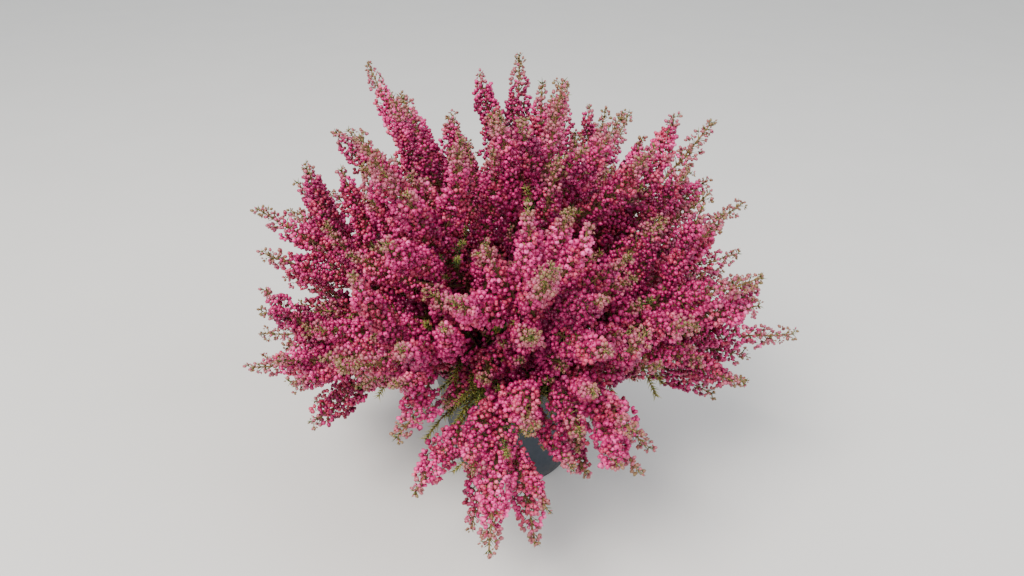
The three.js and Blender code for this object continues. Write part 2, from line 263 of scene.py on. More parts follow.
# Gives each stem the main spire on its own upper part, then side spires in turn, each opened as wide as the
# others leave room for.
def growSpires(stems):
    for stem in stems:
        start = stem["length"] * habit["leafyShare"] + habit["seatGap"]
        number = stem["i"] * (spireForm["sideSpires"] + 1)
        main = spireOn(stem, start, spireForm["spireBare"], spireForm["spireRadius"], number)
        stem["spires"], stem["balls"] = [main], ballsOf(main)
        reach = np.full((habit["steps"] + 1, 1), habit["needleReach"])
        stem["guard"] = [np.hstack([shoot["points"], reach]) for shoot in stem["shoots"]]
    guards = [guard for stem in stems for guard in stem["guard"]]
    for k in range(spireForm["sideSpires"]):
        for stem in stems:
            taken = np.vstack([other["balls"] for other in stems if other is not stem] + guards)
            for opening in spireForm["openings"]:
                chosen = sideSpire(stem, k, opening)
                if isClear(ballsOf(chosen), taken):
                    stem["spires"].append(chosen)
                    stem["balls"] = np.vstack([stem["balls"], ballsOf(chosen)])
                    break


fillForm = {
    "tries": 4000, "most": 158, "firstNumber": 1000, "length": (36, 92), "radius": (8, 11.5), "bare": 9,
    "opening": (0.45, 1.15), "start": (0.13, 0.74), "settled": 0.45, "lift": (0.0, 1.1),
    "closeness": (0.92, 0.76, 0.6), "firstBall": 14, "ballStep": 3, "crownMiddle": (0, 0, 150),
    "crownHalf": (185, 185, 160), "widest": 0.97, "rimGap": 8, "lowest": 104, "lowestOutside": 62,
}


# How far out in the crown a place is: its distance from the crown's middle over the crown's half sizes.
def crownShare(p):
    return np.linalg.norm((p - fillForm["crownMiddle"]) / fillForm["crownHalf"], axis=-1)


# A short spire in a gap of the crown. It opens from its stem, settles to a share of that angle, and turns up
# with the way along it.
def fillSpire(stem, number):
    form = fillForm
    start = stem["length"] * rng.uniform(*form["start"])
    length = rng.uniform(*form["length"])
    opening = rng.uniform(*form["opening"])
    at, _, away = branchAt(stem, start, rng.uniform(0, 2 * math.pi))
    lift = rng.uniform(*form["lift"])

    def direction(t):
        rest = 1 - np.clip(np.asarray(t) / length, 0, 1)
        opened = opening * mix(form["settled"], 1, rest * rest)
        lifted = (lift * (1 - rest))[..., None] * upward
        return unit(between(stem["direction"](start + t), away, opened) + lifted)

    line = follow(at, length, direction, stem["side"])
    return spireOn(line, 0.0, form["bare"], rng.uniform(*form["radius"]), number)


# Short spires are tried at random, and one stays if its balls keep the asked share of their distance
# from all others. The share falls over the rounds, so the widest gaps fill first.
def fillGaps(stems):
    form = fillForm
    balls = np.vstack([stem["balls"] for stem in stems])
    kept = 0
    for closeness in form["closeness"]:
        for _ in range(form["tries"]):
            stem = stems[rng.integers(len(stems))]
            spire = fillSpire(stem, form["firstNumber"] + kept)
            own = ballsOf(spire)[form["firstBall"] :: form["ballStep"]]
            inside = np.hypot(own[:, 0], own[:, 1]) < potForm["rimRadius"] + form["rimGap"]
            lowest = np.where(inside, form["lowest"], form["lowestOutside"])
            if (own[:, 2] - own[:, 3] < lowest).any() or crownShare(own[-1, :3]) > form["widest"]:
                continue
            aside = np.abs(balls[:, :3] - own[len(own) // 2, :3]).max(axis=1)
            near = balls[aside < form["length"][1]]
            apart = ((own[:, None, :3] - near[None, :, :3]) ** 2).sum(axis=2)
            if (apart < (closeness * (own[:, None, 3] + near[None, :, 3])) ** 2).any():
                continue
            stem["spires"].append(spire)
            balls = np.vstack([balls, own])
            kept += 1
            if kept >= form["most"]:
                return kept
    return kept


stems = [stemLine(i) for i in range(habit["stems"])]
for stem in stems:
    stem["shoots"] = shootLines(stem)
growSpires(stems)
grown = sum(len(stem["spires"]) for stem in stems)
filled = fillGaps(stems)
print("lines:", len(stems), "stems,", grown, "spires,", filled, "fillers")


# Several meshes as one. Each is (points, triangles, uv of each point, material number of each triangle).
def joined(parts):
    points, faces, uvs, slots = zip(*parts)
    starts = np.cumsum([0] + [len(p) for p in points])
    slots = np.repeat(slots, [len(f) for f in faces])
    return np.vstack(points), np.vstack([f + start for f, start in zip(faces, starts)]), np.vstack(uvs), slots


# Adds an object to the scene.
def addObject(name, data):
    added = bpy.data.objects.new(name, data)
    bpy.context.scene.collection.objects.link(added)
    return added


# One smooth piece of all the parts, in metres, with the chart places as its UV map.
def addPiece(name, parts, materials):
    points, faces, uv, slots = joined(parts)
    mesh = bpy.data.meshes.new(name)
    mesh.vertices.add(len(points))
    mesh.vertices.foreach_set("co", (points * metresPerMm).astype(np.float32).ravel())
    mesh.loops.add(faces.size)
    mesh.loops.foreach_set("vertex_index", faces.astype(np.int32).ravel())
    mesh.polygons.add(len(faces))
    mesh.polygons.foreach_set("loop_start", np.arange(0, faces.size, 3, dtype=np.int32))
    mesh.polygons.foreach_set("material_index", slots.astype(np.int32))
    mesh.update(calc_edges=True)
    mesh.polygons.foreach_set("use_smooth", np.full(len(faces), True))
    mesh.uv_layers.new(name="OFBake")
    mesh.uv_layers["OFBake"].data.foreach_set("uv", uv[faces.ravel()].astype(np.float32).ravel())
    for material in materials:
        mesh.materials.append(material)
    return addObject(name, mesh)


chartForm = {"low": 0.02, "high": 0.98, "columnWidth": 0.002}


# A chart place for each point: its tone across the material's part and its way along up, a hair wider for
# each column.
def chart(tone, way, column, part):
    u = mix(*part, np.clip(tone, 0, 1)) + chartForm["columnWidth"] * column
    return np.stack(np.broadcast_arrays(u, mix(chartForm["low"], chartForm["high"], way)), axis=-1)


# The triangles of many equal shapes: one shape's, moved on by its number of points for each.
def repeated(pattern, count, size):
    return ((size * np.arange(count))[:, None, None] + np.array(pattern)).reshape(-1, 3)


# The triangles of a closed skin: walls between rings of points, and a fan to a point at each end. The two
# end points come after all the rings.
def skinFaces(rings, columns):
    k = np.arange(columns)
    after, end = (k + 1) % columns, rings * columns
    j = columns * np.arange(rings - 1)[:, None]
    a, b = j + k, j + after
    walls = np.stack([a, b, b + columns, a, b + columns, a + columns], axis=-1).reshape(-1, 3)
    first = np.stack([after, k, np.full(columns, end)], axis=-1)
    last = np.stack([end - columns + k, end - columns + after, np.full(columns, end + 1)], axis=-1)
    return np.vstack([walls, first, last])


# Thin points: a small triangle square to the direction, and the tip. The triangle's side, which is the
# width, is about 1.7 times its corners' distance from its middle.
def spikes(at, direction, length, width, tone, look):
    n = len(at)
    length, width, tone = (np.broadcast_to(v, n).astype(float) for v in (length, width, tone))
    corners = ringsRound(at, *squareTo(direction), fullTurns(3), width / spikeSide)
    tip = at + direction * length[:, None]
    points = np.concatenate([corners, tip[:, None]], axis=1)
    faces = repeated([[0, 2, 1], [0, 1, 3], [1, 2, 3], [2, 0, 3]], n, 4)
    uv = chart(tone[:, None], np.array([0, 0, 0, 1.0]), np.array([0, 1, 2, 1]), look["part"])
    return points.reshape(-1, 3), faces, uv.reshape(-1, 2), look["slot"]


# Wood on a line: a closed tube whose radius goes evenly from the first to the second over the line's length.
# The thicker it is, the older its tone.
def woodOn(line, radii, columns, rings, short):
    s = np.linspace(0, line["length"] - short, rings)
    radius = mix(*radii, s / line["length"])
    at, _, across, over = frameAt(line, s)
    skin = ringsRound(at, across, over, fullTurns(columns), radius)
    points = np.vstack([skin.reshape(-1, 3), at[:1], at[-1:]])
    way = np.concatenate([np.repeat(np.linspace(0, 1, rings), columns), [0, 1]])
    tone = np.repeat(np.clip(1 - radius / barkLook["thickest"], 0, 1), columns)
    tone = np.concatenate([tone, barkLook["endTones"]])
    column = np.concatenate([np.tile(np.arange(columns), rings), [0, 0]])
    uv = chart(tone, way, column, barkLook["part"])
    return points, skinFaces(rings, columns), uv, barkLook["slot"]


# The triangles of one bell: a fan at its foot, walls between its rings, and a fan at its mouth.
def bellFaces(rings, columns):
    k = np.arange(columns)
    after = (k + 1) % columns
    faces = [np.stack([np.zeros_like(k), 1 + after, 1 + k], axis=-1)]
    for j in range(rings - 1):
        a, b = 1 + j * columns + k, 1 + j * columns + after
        faces.append(np.stack([a, b, a + columns], axis=-1))
        faces.append(np.stack([b, b + columns, a + columns], axis=-1))
    last = 1 + (rings - 1) * columns
    faces.append(np.stack([last + k, last + after, np.full(columns, last + columns)], axis=-1))
    return np.vstack(faces)


# Round-bellied bells or buds, mouth outwards. The rings stand at shares of the length, each with a share of
# the width, and a point closes the mouth.
def bells(at, direction, length, width, tone, spin, form):
    columns = form["columns"]
    length, width, spin = (v * share for v, share in zip((length, width, spin), form["shares"]))
    square = squareTo(direction)
    endPlace, endWay, endColumn = form["end"]
    skin, way, column = [at[:, None]], [0.0], [endColumn]
    for place, reach, twist, ringWay in form["rings"]:
        turn = spin[:, None] + fullTurns(columns) + twist * np.pi / columns
        middle = at + direction * (length * place)[:, None]
        skin.append(ringsRound(middle, *square, turn, width * reach))
        way += [ringWay] * columns
        column += range(columns)
    mouth = at + direction * (length * endPlace)[:, None]
    points = np.concatenate([*skin, mouth[:, None]], axis=1)
    faces = repeated(bellFaces(len(form["rings"]), columns), len(at), points.shape[1])
    uv = chart(tone[:, None], np.array(way + [endWay]), np.array(column + [endColumn]), petalLook["part"])
    return points.reshape(-1, 3), faces, uv.reshape(-1, 2), petalLook["slot"]


# sRGB hex to linear red, green, blue and alpha.
def linear(colour):
    parts = [int(colour[i : i + 2], 16) / 255 for i in (1, 3, 5)]
    return [v / 12.92 if v <= 0.04045 else ((v + 0.055) / 1.055) ** 2.4 for v in parts] + [1.0]


# A pattern's scale: how many of its size in millimetres go into a metre.
def perMetre(size):
    return 1000 / size


# Sets a node's inputs by name, or by number as in i0. A value that is an output is linked.
def setInputs(made, inputs):
    for key, value in inputs.items():
        socket = made.inputs[int(key[1:]) if key[1:].isdigit() else key]
        if isinstance(value, bpy.types.NodeSocket):
            made.id_data.links.new(value, socket)
        else:
            socket.default_value = value


# Adds a node with its settings, values and links, and gives the asked output.
def node(tree, kind, settings=None, out=0, **inputs):
    made = tree.nodes.new("ShaderNode" + kind)
    for key, value in (settings or {}).items():
        setattr(made, key, value)
    setInputs(made, inputs)
    return made.outputs[out]


# Gives a colour ramp its stops, as places and sRGB hex colours.
def setRamp(ramp, stops):
    elements = ramp.color_ramp.elements
    while len(elements) > len(stops):
        elements.remove(elements[-1])
    while len(elements) < len(stops):
        elements.new(1.0)
    for element, (place, colour) in zip(elements, stops):
        element.position = place
        element.color = linear(colour)


# A new material with a shader on its output, the function that adds nodes to it, and the shader.
def newMaterial(name):
    material = bpy.data.materials.new(name)
    material.use_nodes = True
    tree = material.node_tree
    tree.nodes.clear()
    shader = node(tree, "BsdfPrincipled")
    setInputs(tree.nodes.new("ShaderNodeOutputMaterial"), {"Surface": shader})
    return material, partial(node, tree), shader.node


colourMix = {"data_type": "RGBA"}
colourTimes = {"data_type": "RGBA", "blend_type": "MULTIPLY"}


# A charted material. Its colour is a ramp of tones across its part of the chart, times a ramp of shades up it
# where there is one.
def chartedMaterial(name, look):
    material, add, shader = newMaterial(name)
    place = add("UVMap", {"uv_map": "OFBake"})
    across, up = add("SeparateXYZ", Vector=place).node.outputs[:2]
    low, high = look["part"]
    colour = add("ValToRGB", Fac=add("MapRange", i0=across, i1=low, i2=high))
    setRamp(colour.node, look["tones"])
    if "shades" in look:
        low, high = chartForm["low"], chartForm["high"]
        shade = add("ValToRGB", Fac=add("MapRange", i0=up, i1=low, i2=high))
        setRamp(shade.node, look["shades"])
        colour = add("Mix", colourTimes, 2, i0=1.0, i6=colour, i7=shade)
    setInputs(shader, {"Base Color": colour, **look["shader"]})
    return material


# Part is the material's part of the chart, and slot its number in the piece.
petalLook = {
    "part": (0.02, 0.98), "slot": 0,
    "tones": [
        (0.0, "#7a0e44"), (0.15, "#b01c62"), (0.3, "#e03c8c"), (0.42, "#ff72b4"), (0.44, "#ff7cba"),
        (0.48, "#801838"), (0.58, "#bc345c"), (0.7, "#ee7094"), (0.72, "#f07c9c"),
        (0.76, "#c44e7e"), (0.86, "#ae566c"), (0.94, "#9a5e56"), (1.0, "#7c6a40"),
    ],
    "magenta": (0.0, 0.42), "rose": (0.48, 0.7), "dusty": (0.76, 0.99),
    # Shades up a bell: darker olive at the foot, then painted shade at the mouth, slight on the lip and deep
    # in the throat.
    "shades": [
        (0.0, "#8a8a70"), (0.16, "#cfc4c4"), (0.34, "#ffffff"), (0.86, "#ffffff"),
        (0.92, "#e8d4de"), (0.985, "#5a2038"),
    ],
    "shader": {
        "Roughness": 0.32, "Specular IOR Level": 0.5, "Subsurface Weight": 0.12,
        "Subsurface Radius": (0.9, 0.25, 0.35), "Subsurface Scale": 0.001,
    },
    # Painted shade: how much darker bells grow inside the crown, and the most they darken.
    "light": 0.48, "spireLight": 0.5, "lightSpread": 0.14, "innerPaintedShade": 0.5, "mostPaintedShade": 0.22,
    "roseShare": (0.08, 0.5), "dustyShare": (0.55, 1.2), "dustySpread": 0.15, "dustyFrom": 0.3,
}


# Heath corolla, a thin waxy petal: soft sheen, deep colour at the foot, and painted shade that darkens the
# lip a little and the throat deeply.
def petalMaterial():
    return chartedMaterial("waxyHeathPetal", petalLook)


leafLook = {
    "part": (0.02, 0.56), "slot": 0,
    "tones": [(0.0, "#1d3312"), (0.35, "#37501c"), (0.65, "#5f6f2a"), (0.85, "#8f9a3c"), (1.0, "#b0b053")],
    "shades": [(0.0, "#b8b8a8"), (0.5, "#ffffff"), (1.0, "#fff4d8")],
    "shader": {"Roughness": 0.5, "Subsurface Weight": 0.08, "Subsurface Scale": 0.001},
}


# Heath needle leaf: leathery, half dull, darker where it joins the stem and yellower at the tip.
def leafMaterial():
    return chartedMaterial("leatheryNeedleLeaf", leafLook)


barkLook = {
    "part": (0.62, 0.97), "slot": 1, "thickest": 2, "endTones": (0.1, 0.9),
    "tones": [(0.0, "#3b2a20"), (0.45, "#6a4a34"), (0.8, "#8a6a44"), (1.0, "#8f8450")],
    "shader": {"Roughness": 0.7},
}


# Heath bark on thin stems: dull brown where it is old, redder and then greener on the young tips.
def barkMaterial():
    return chartedMaterial("youngHeathBark", barkLook)


# Ranges go from a pattern's values, or from metres of height, to amounts.
potLook = {
    "body": "#262f39", "worn": "#46515c", "dust": "#6a5a4a", "speckMm": 1.1,
    "speck": {"Detail": 3.0},
    "markMm": 7,
    "mark": {"Detail": 9.0, "Roughness": 0.72},
    "streakMm": 2.4,
    "streak": {"Detail": 3.0},
    "streakStretch": 0.07,
    "rubbed": {"From Min": 0.58, "From Max": 0.74, "To Max": 0.55},
    "drawn": {"From Min": 0.35, "From Max": 0.75, "To Max": 0.14},
    "nearRim": {"From Min": 0.07, "From Max": 0.1, "To Max": 0.5},
    "nearFoot": {"From Min": 0.02, "From Max": 0.0, "To Max": 0.8},
    "dusty": {"From Min": 0.45, "From Max": 0.75},
    "roughness": {"From Min": 0.35, "From Max": 0.7, "To Min": 0.36, "To Max": 0.56},
    "bump": {"Strength": 0.15, "Distance": 0.0002},
}


# Polypropylene, thermoformed: satin dark slate with faint upright drawing lines, small paler rub marks, and
# dried peat dust below the rim and round the foot.
def potMaterial():
    material, add, shader = newMaterial("thermoformedPolypropylene")
    look = potLook
    place = add("TexCoord", out="Object")
    tall = add("Mapping", Vector=place, Scale=(1, 1, look["streakStretch"]))
    streak = add("TexNoise", Vector=tall, Scale=perMetre(look["streakMm"]), **look["streak"])
    mark = add("TexNoise", Vector=place, Scale=perMetre(look["markMm"]), **look["mark"])
    speck = add("TexNoise", Vector=place, Scale=perMetre(look["speckMm"]), **look["speck"])
    rubbed = add("MapRange", i0=mark, **look["rubbed"])
    drawn = add("MapRange", i0=streak, **look["drawn"])
    paler = add("Math", {"operation": "MAXIMUM"}, i0=rubbed, i1=drawn)
    body = add("Mix", colourMix, 2, i0=paler, i6=linear(look["body"]), i7=linear(look["worn"]))
    height = add("SeparateXYZ", out=2, Vector=place)
    rim = add("MapRange", i0=height, **look["nearRim"])
    foot = add("MapRange", i0=height, **look["nearFoot"])
    near = add("Math", {"operation": "ADD"}, i0=rim, i1=foot)
    spread = add("MapRange", i0=speck, **look["dusty"])
    dusty = add("Math", {"operation": "MULTIPLY"}, i0=near, i1=spread)
    final = add("Mix", colourMix, 2, i0=dusty, i6=body, i7=linear(look["dust"]))
    rough = add("MapRange", i0=mark, **look["roughness"])
    bump = add("Bump", Height=streak, **look["bump"])
    setInputs(shader, {"Base Color": final, "Roughness": rough, "Normal": bump})
    return material


peatLook = {
    "dark": "#150e0a", "mid": "#33241a", "fibre": "#6b5138", "grainMm": 1.6, "fibreMm": 4,
    "noise": {"Detail": 8.0, "Roughness": 0.7},
    "fibres": {"From Min": 0.78, "From Max": 0.95, "To Max": 0.7},
    "roughness": 0.95,
    "bump": {"Strength": 0.7, "Distance": 0.0008},
}


# Milled peat: nearly black crumbs with paler fibres, quite without gloss.
def peatMaterial():
    material, add, shader = newMaterial("milledPeat")
    look = peatLook
    place = add("TexCoord", out="Object")
    grain = add("TexVoronoi", Vector=place, Scale=perMetre(look["grainMm"])).node.outputs
    noise = add("TexNoise", Vector=place, Scale=perMetre(look["fibreMm"]), **look["noise"])
    base = add("Mix", colourMix, 2, i0=noise, i6=linear(look["dark"]), i7=linear(look["mid"]))
    fibre = add("MapRange", i0=grain["Color"], **look["fibres"])
    final = add("Mix", colourMix, 2, i0=fibre, i6=base, i7=linear(look["fibre"]))
    bump = add("Bump", Height=grain["Distance"], **look["bump"])
    setInputs(shader, {"Base Color": final, "Roughness": look["roughness"], "Normal": bump})
    return material


petal = petalMaterial()
leaf = leafMaterial()
bark = barkMaterial()
plastic = potMaterial()
peatStuff = peatMaterial()
print("materials: done")


# A look is a direction that the crown is seen from. Its map has small square cells.
lookForm = {
    "looks": 48, "lowest": math.radians(-12), "helper": (0.6, 0.8, 0.0), "cell": 2.4, "halfCells": 300,
    "depth": 2.5, "share": 0.5, "ahead": 2, "hiddenShare": 0.265,
}
nearCells = [(a, b) for a in (-1, 0, 1) for b in (-1, 0, 1)]


# The looks follow a spiral over a sphere, from a little below level to straight down.
def lookAxes(i):
    z = mix(math.sin(lookForm["lowest"]), 1, (i + 0.5) / lookForm["looks"])
    flat = math.sqrt(1 - z * z)
    look = np.array([flat * math.cos(i * goldenAngle), flat * math.sin(i * goldenAngle), z])
    across = unit(np.cross(look, lookForm["helper"]))
    return look, across, np.cross(look, across)


# Each place's small cell as seen in a look, and how far out it stands.
def lookCells(places, i):
    look, across, over = lookAxes(i)
    half = lookForm["halfCells"]
    u, v = (np.floor(places @ axis / lookForm["cell"]).astype(int) + half for axis in (across, over))
    return np.clip(u, 1, 2 * half - 2), np.clip(v, 1, 2 * half - 2), places @ look


# For each look, how far out the flowers stand in every cell: a cluster covers three by three cells.
def mapLooks(places):
    fronts = []
    for i in range(lookForm["looks"]):
        u, v, depth = lookCells(places, i)
        front = np.full((2 * lookForm["halfCells"], 2 * lookForm["halfCells"]), -np.inf)
        for a, b in nearCells:
            np.maximum.at(front, (u + a, v + b), depth)
        fronts.append(front)
    return fronts


# How many looks reach each place: those where, in the asked share of the cells given, no cluster stands
# further out by more than the look's depth.
def looksReaching(places, fronts, cells):
    counts = np.zeros(len(places), int)
    for i, front in enumerate(fronts):
        u, v, depth = lookCells(places, i)
        clear = np.mean([depth > front[u + a, v + b] - lookForm["depth"] for a, b in cells], axis=0)
        counts += clear >= lookForm["share"]
    return counts


# Notes on each cluster how many looks reach it, and takes away most of those that none reaches.
def thinHidden(clusterSets):
    places = np.vstack([c["middle"] + lookForm["ahead"] * c["heading"] for c in clusterSets])
    fronts = mapLooks(places)
    counts = looksReaching(places, fronts, nearCells)
    start = 0
    for clusters in clusterSets:
        n = len(clusters["young"])
        clusters["looks"] = counts[start : start + n]
        start += n
        kept = (clusters["looks"] > 0) | (rng.uniform(0, 1, n) < lookForm["hiddenShare"])
        for key in clusters:
            clusters[key] = clusters[key][kept]
    return fronts


bellForm = {
    "length": 3.5, "width": 3.1, "pedicel": 1.2, "firstCluster": 0.55, "samples": 200, "meanReach": 0.75,
    "clusterArea": 28.6, "fewest": 12, "alongShake": 0.35, "turnShake": 0.3, "reachShake": (0.84, 1.12),
    "middleInside": 4.6, "leastReach": 0.8, "stalkDrop": (0.7, 1, 5), "perCluster": 4, "firstSpread": 0.15,
    "spread": 0.95, "spreadShake": (0.75, 1.2), "rise": 0.5, "nudge": 0.01, "nod": 0.22, "lump": 0.26,
    "lumpPitch": 15, "lumpTurns": 2, "lumpTwist": 0.7, "innerSwell": 0.5, "openLooks": 7,
    "tipFrom": (0.56, 0.84), "tipShare": 0.5, "tipSize": 0.72, "sizeShake": (0.86, 1.1), "budsFrom": 0.6,
    "tipBuds": 0.6, "lateBuds": 0.03,
}

# Shares are of length, width and spin. A ring has its share of the length and of the width, its half turns
# of a column and its way on the chart. The end has its share of the length, its way, and both ends' column.
bellKinds = {
    "open": {
        "shares": (1, 1, 1), "columns": 5, "rings": [(0.42, 0.5, 0, 0.45), (1.0, 0.3, 1, 0.9)],
        "end": (0.8, 1.0, 2),
    },
    "plain": {"shares": (1, 1, 1), "columns": 5, "rings": [(0.5, 0.5, 0, 0.5)], "end": (0.94, 0.92, 2)},
    "inner": {"shares": (1, 1, 1), "columns": 4, "rings": [(0.5, 0.52, 0, 0.5)], "end": (0.96, 0.92, 2)},
    "bud": {"shares": (0.8, 0.62, 0), "columns": 4, "rings": [(0.45, 0.5, 0, 0.45)], "end": (1.0, 0.8, 1)},
}


# Clusters on a spire. They follow the golden angle round it, and their places along it share out the
# running sum of the reach, so that each has the same area of the spire's surface. Two crossed waves of
# height and turn make the spire lumpy.
def clustersOf(spire):
    form, line, number = bellForm, spire["line"], spire["number"]
    start = spire["start"] + form["firstCluster"] * spire["bare"]
    length = line["length"] - start
    flowering = (line["length"] - spire["start"] - spire["bare"]) / length

    def reachAt(x):
        return spireReach(spire, np.clip((x - (1 - flowering)) / flowering, 0, 1))

    x = np.linspace(0, 1, form["samples"])
    tipFrom = mix(*form["tipFrom"], chance(number, "tip"))
    weight = reachAt(x) * np.where(x > tipFrom, form["tipShare"], 1)
    total = np.concatenate([[0], np.cumsum((weight[1:] + weight[:-1]) / 2)])
    area = 2 * np.pi * form["meanReach"] * total[-1] * length / (len(x) - 1)
    count = max(form["fewest"], int(area / form["clusterArea"]))
    shares = (np.arange(count) + 0.5 + shakes(form["alongShake"], count)) / count
    x = np.interp(shares * total[-1], total, x)
    s = start + x * length
    turn = np.arange(count) * goldenAngle + shakes(form["turnShake"], count) + number
    at, along, out = aroundAt(line, s, turn)
    wave = 2 * np.pi * s / form["lumpPitch"]
    lump = np.sin(form["lumpTurns"] * turn + form["lumpTwist"] * wave) * np.sin(wave + number)
    reach = reachAt(x) * rng.uniform(*form["reachShake"], count) * (1 + form["lump"] * lump)
    reach = np.maximum(reach - form["middleInside"], form["leastReach"])
    middle = at + out * reach[:, None]
    dropShare, leastDrop, mostDrop = form["stalkDrop"]
    foot = at - along * np.minimum(mostDrop, dropShare * reach + leastDrop)[:, None]
    return {
        "middle": middle, "heading": unit(out + along * form["rise"]), "along": along, "foot": foot,
        "share": crownShare(middle), "young": np.clip((x - tipFrom) / (1 - tipFrom), 0, 1),
    }


# A bell's place on the petal chart: magenta or browner rose for each cluster, darker inside the crown by
# painted shade, and dusty rose to olive towards the spire's tip.
def petalTone(spire, n, per, share, young):
    look, total = petalLook, n * per
    light = look["light"] + look["spireLight"] * (chance(spire["number"], "light") - 0.5)
    light = light + np.repeat(rng.normal(0, look["lightSpread"], n), per)
    light = light + rng.normal(0, look["lightSpread"], total)
    # Painted shade: the further inside the crown a bell sits, the darker its tone, up to a most.
    light = np.clip(light - np.clip((1 - share) * look["innerPaintedShade"], 0, look["mostPaintedShade"]), 0, 1)
    roseShare = mix(*look["roseShare"], chance(spire["number"], "rose"))
    isRose = np.repeat(rng.uniform(0, 1, n) < roseShare, per)
    tone = np.where(isRose, mix(*look["rose"], light), mix(*look["magenta"], light))
    dusty = young * rng.uniform(*look["dustyShare"], total)
    faded = mix(*look["dusty"], np.clip(dusty + rng.normal(0, look["dustySpread"], total), 0, 1))
    return np.where(dusty > look["dustyFrom"], faded, tone)


# Bells of the clusters: one straight on and the rest spread round it, all nodding a little. Fewer looks make
# them plainer, and at the tips most are buds.
def bellsOf(spire, clusters):
    form, per, n = bellForm, bellForm["perCluster"], len(clusters["young"])
    total = n * per
    keys = ("heading", "along", "middle", "young", "share", "looks")
    heading, along, middle, young, share, looks = (np.repeat(clusters[key], per, axis=0) for key in keys)
    k = np.tile(np.arange(per), n)
    across = unit(np.cross(heading, along + form["nudge"]))
    over = np.cross(heading, across)
    around = 2 * np.pi * k / (per - 1) + np.repeat(rng.uniform(*anyTurn, n), per)
    spread = np.where(k == 0, form["firstSpread"], form["spread"]) * rng.uniform(*form["spreadShake"], total)
    direction = unit(between(heading, between(across, over, around), spread) - form["nod"] * upward)
    inner = 1 + form["innerSwell"] * (looks == 0)
    size = mix(1, form["tipSize"], young) * rng.uniform(*form["sizeShake"], total) * inner
    at = middle + direction * (form["pedicel"] * size)[:, None]
    tone = petalTone(spire, n, per, share, young)
    tipBud = rng.uniform(0, 1, total) < form["tipBuds"]
    lateBud = rng.uniform(0, 1, total) < form["lateBuds"]
    isBud = (young > form["budsFrom"]) & tipBud | lateBud
    kinds = np.select([isBud, looks >= form["openLooks"], looks == 0], ["bud", "open", "inner"], "plain")
    shape = (at, direction, form["length"] * size, form["width"] * size, tone, rng.uniform(*anyTurn, total))
    parts = []
    for kind, kindForm in bellKinds.items():
        which = kinds == kind
        if which.any():
            parts.append(bells(*(values[which] for values in shape), kindForm))
    return parts, np.array([total - isBud.sum(), isBud.sum()])


# Wood has its radius at foot and tip and how far short of the line's end it stops.
greenForm = {
    "stemWood": {"radii": (1.8, 0.45), "columns": 6, "rings": 34, "short": 2},
    "sideWood": {"radii": (1.1, 0.4), "columns": 4, "rings": 11, "short": 2},
    "twigWood": {"radii": (0.8, 0.35), "columns": 4, "rings": 5, "short": 0},
    "stemNeedles": {"pitch": 3.0, "around": 4, "length": 5.2, "tone": 0.3},
    "sideNeedles": {"pitch": 3.0, "around": 3, "length": 4.8, "tone": 0.35},
    "spireNeedles": {"pitch": 3.6, "around": 3, "length": 4.4, "tone": 0.6},
    "lowerNeedles": {"pitch": 2.4, "around": 4},
    "upperNeedles": {"pitch": 1.8, "around": 4},
    "needleWidth": 0.85, "needleOpen": 0.85, "needleShake": 0.25, "whorlShake": 0.3, "whorlTurn": 0.8,
    "sizeShake": (0.8, 1.15), "toneSpread": 0.15, "hiddenShare": 0.12, "footBare": 3, "branchBare": 2,
    "pastBare": 6, "spireFrom": 0.6, "tipBare": 1, "stalkPast": 1.2, "stalkWidth": 0.75,
    "stalkTone": (0.7, 1.0), "bractPlace": (0.6, 1.1), "bractLean": 0.6, "bractTone": (0.62, 0.15),
    "bractSize": (4.0, 0.8), "shootTone": 0.45, "twigs": 14, "twigTone": 0.35, "twigStart": (0.13, 0.6),
    "twigOpen": (0.4, 0.95), "twigLength": (26, 46), "twigLowest": 96, "twigNeedle": 5.0, "twigLower": 0.75,
    "twigUpper": 0.78, "tipNeedle": 0.84, "tipTone": 0.35, "leastTwig": 60, "rimTwigs": 22,
    "rimHeight": (104, 134), "rimTurn": (-1.1, 1.1), "rimRise": (0.1, 0.6), "rimSag": (0.5, 1.5),
    "rimLength": (40, 74), "rimGap": 6, "rimClear": 103, "rimLowest": 44, "rimTone": 0.62, "rimNeedle": 6.2,
}


# Whorls of needles on a line: each leans from the line by the opening, and each whorl is turned on. Most of
# those that no look reaches are left out.
def needlesOn(line, start, end, pitch, around, length, tone):
    form = greenForm
    count = max(1, int((end - start) / pitch) + 1)
    s = np.repeat(start + np.arange(count) * pitch + shakes(form["whorlShake"], count), around)
    n = len(s)
    turn = np.tile(fullTurns(around), count) + np.repeat(np.arange(count) * form["whorlTurn"], around)
    turn = turn + shakes(form["needleShake"], n)
    at, along, out = aroundAt(line, np.minimum(s, line["length"]), turn)
    opening = form["needleOpen"] + shakes(form["needleShake"], n)
    direction = between(along, out, opening)
    size = length * rng.uniform(*form["sizeShake"], n)
    shade = tone + rng.normal(0, form["toneSpread"], n)
    seen = looksReaching(at + direction * size[:, None], flowerFronts, [(0, 0)]) > 0
    kept = seen | (rng.uniform(0, 1, n) < form["hiddenShare"])
    return spikes(at[kept], direction[kept], size[kept], form["needleWidth"], shade[kept], leafLook)


# A green twig: a thin stalk under whorls of needles, shorter and yellower towards its tip. One that is
# nearly all hidden is left out.
def twigParts(twig, tone, needle):
    form, length = greenForm, twig["length"]
    start, lowerEnd, upperStart = form["branchBare"], form["twigLower"] * length, form["twigUpper"] * length
    lower = needlesOn(twig, start, lowerEnd, length=needle, tone=tone, **form["lowerNeedles"])
    needle, tone = form["tipNeedle"] * needle, tone + form["tipTone"]
    upper = needlesOn(twig, upperStart, length, length=needle, tone=tone, **form["upperNeedles"])
    if len(lower[0]) + len(upper[0]) < form["leastTwig"]:
        return []
    return [woodOn(twig, **form["twigWood"]), lower, upper]


